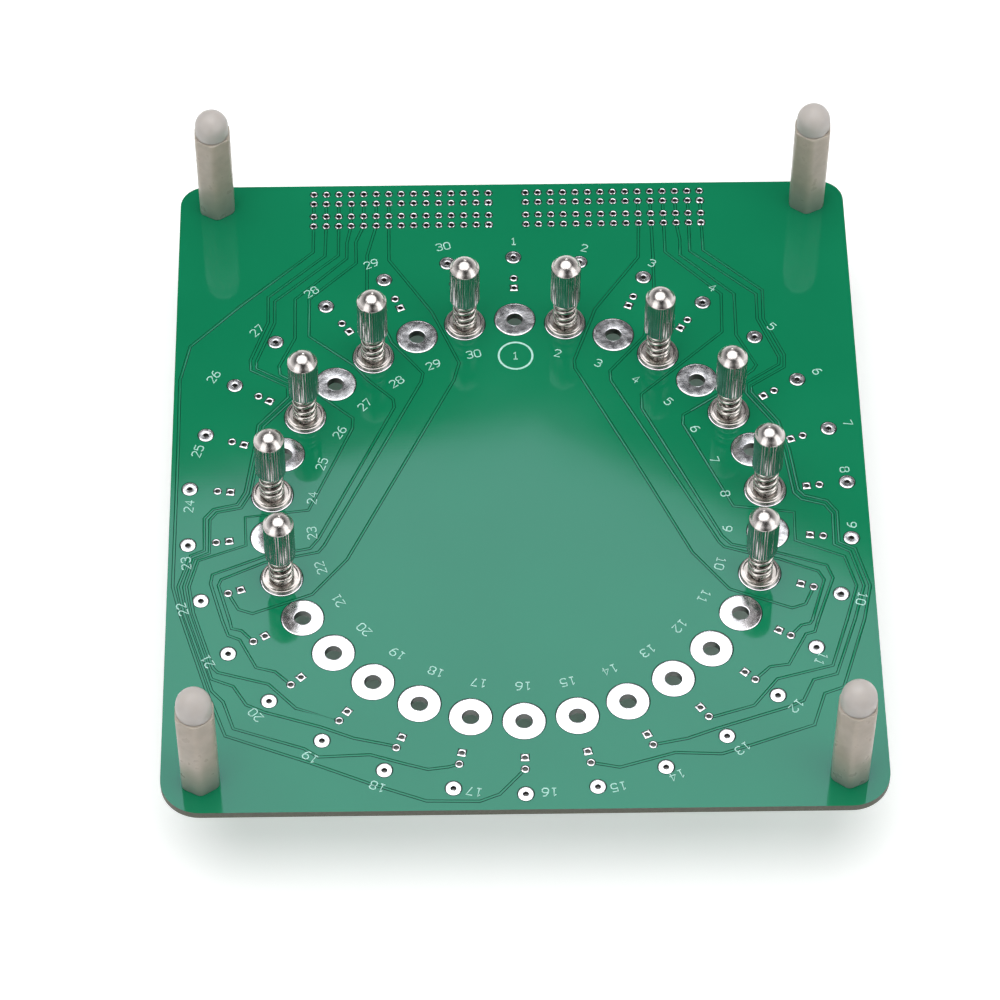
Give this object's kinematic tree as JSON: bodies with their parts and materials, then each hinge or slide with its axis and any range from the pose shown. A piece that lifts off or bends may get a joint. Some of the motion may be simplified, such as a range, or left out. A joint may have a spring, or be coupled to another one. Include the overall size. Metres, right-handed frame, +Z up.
{
  "type": "pcb probe fixture",
  "caption": "Test fixture board with a numbered ring of spring-loaded domed probes, rows of header holes along the back and a capped hex standoff at each corner.",
  "frame": {"origin": "under the middle of the board, at the height of the lowest tips of the probes' tails", "axes": "+Z up, +Y towards the header rows at the back of the board, +X to the right seen from the front"},
  "size_m": [0.135, 0.151, 0.0495],
  "materials": {
    "circuit_board": "glossy green solder mask on glass-fibre laminate, tinned pads",
    "nickel": "polished nickel plate on brass",
    "spring_steel": "nickel-plated spring wire",
    "plated_nut": "zinc-plated steel",
    "nylon": "natural white nylon, slightly translucent",
    "cap_rubber": "translucent moulded cap, soft gloss"
  },
  "bodies": {
    "root": {"circuit_board": "circuit_board", "probe_barrels": "nickel", "probe_nuts": "plated_nut", "standoff_nuts": "nylon", "probe_spring_02": "spring_steel", "probe_spring_04": "spring_steel", "probe_spring_06": "spring_steel", "probe_spring_08": "spring_steel", "probe_spring_10": "spring_steel", "probe_spring_22": "spring_steel", "probe_spring_24": "spring_steel", "probe_spring_26": "spring_steel", "probe_spring_28": "spring_steel", "probe_spring_30": "spring_steel", "standoff_front_left": "nylon", "standoff_cap_front_left": "cap_rubber", "standoff_front_right": "nylon", "standoff_cap_front_right": "cap_rubber", "standoff_back_left": "nylon", "standoff_cap_back_left": "cap_rubber", "standoff_back_right": "nylon", "standoff_cap_back_right": "cap_rubber"},
    "plunger_02": {"probe_plunger_02": "nickel"},
    "plunger_04": {"probe_plunger_04": "nickel"},
    "plunger_06": {"probe_plunger_06": "nickel"},
    "plunger_08": {"probe_plunger_08": "nickel"},
    "plunger_10": {"probe_plunger_10": "nickel"},
    "plunger_22": {"probe_plunger_22": "nickel"},
    "plunger_24": {"probe_plunger_24": "nickel"},
    "plunger_26": {"probe_plunger_26": "nickel"},
    "plunger_28": {"probe_plunger_28": "nickel"},
    "plunger_30": {"probe_plunger_30": "nickel"}
  },
  "joints": [
    {"name": "probe_02_press", "type": "slide", "parent": "root", "child": "plunger_02", "axis": [0, 0, -1], "range_m": [0, 0.003], "stiffness_N_per_m": 250, "springref_m": -0.002, "deforming": ["probe_spring_02"]},
    {"name": "probe_04_press", "type": "slide", "parent": "root", "child": "plunger_04", "axis": [0, 0, -1], "range_m": [0, 0.003], "stiffness_N_per_m": 250, "springref_m": -0.002, "deforming": ["probe_spring_04"]},
    {"name": "probe_06_press", "type": "slide", "parent": "root", "child": "plunger_06", "axis": [0, 0, -1], "range_m": [0, 0.003], "stiffness_N_per_m": 250, "springref_m": -0.002, "deforming": ["probe_spring_06"]},
    {"name": "probe_08_press", "type": "slide", "parent": "root", "child": "plunger_08", "axis": [0, 0, -1], "range_m": [0, 0.003], "stiffness_N_per_m": 250, "springref_m": -0.002, "deforming": ["probe_spring_08"]},
    {"name": "probe_10_press", "type": "slide", "parent": "root", "child": "plunger_10", "axis": [0, 0, -1], "range_m": [0, 0.003], "stiffness_N_per_m": 250, "springref_m": -0.002, "deforming": ["probe_spring_10"]},
    {"name": "probe_22_press", "type": "slide", "parent": "root", "child": "plunger_22", "axis": [0, 0, -1], "range_m": [0, 0.003], "stiffness_N_per_m": 250, "springref_m": -0.002, "deforming": ["probe_spring_22"]},
    {"name": "probe_24_press", "type": "slide", "parent": "root", "child": "plunger_24", "axis": [0, 0, -1], "range_m": [0, 0.003], "stiffness_N_per_m": 250, "springref_m": -0.002, "deforming": ["probe_spring_24"]},
    {"name": "probe_26_press", "type": "slide", "parent": "root", "child": "plunger_26", "axis": [0, 0, -1], "range_m": [0, 0.003], "stiffness_N_per_m": 250, "springref_m": -0.002, "deforming": ["probe_spring_26"]},
    {"name": "probe_28_press", "type": "slide", "parent": "root", "child": "plunger_28", "axis": [0, 0, -1], "range_m": [0, 0.003], "stiffness_N_per_m": 250, "springref_m": -0.002, "deforming": ["probe_spring_28"]},
    {"name": "probe_30_press", "type": "slide", "parent": "root", "child": "plunger_30", "axis": [0, 0, -1], "range_m": [0, 0.003], "stiffness_N_per_m": 250, "springref_m": -0.002, "deforming": ["probe_spring_30"]}
  ]
}
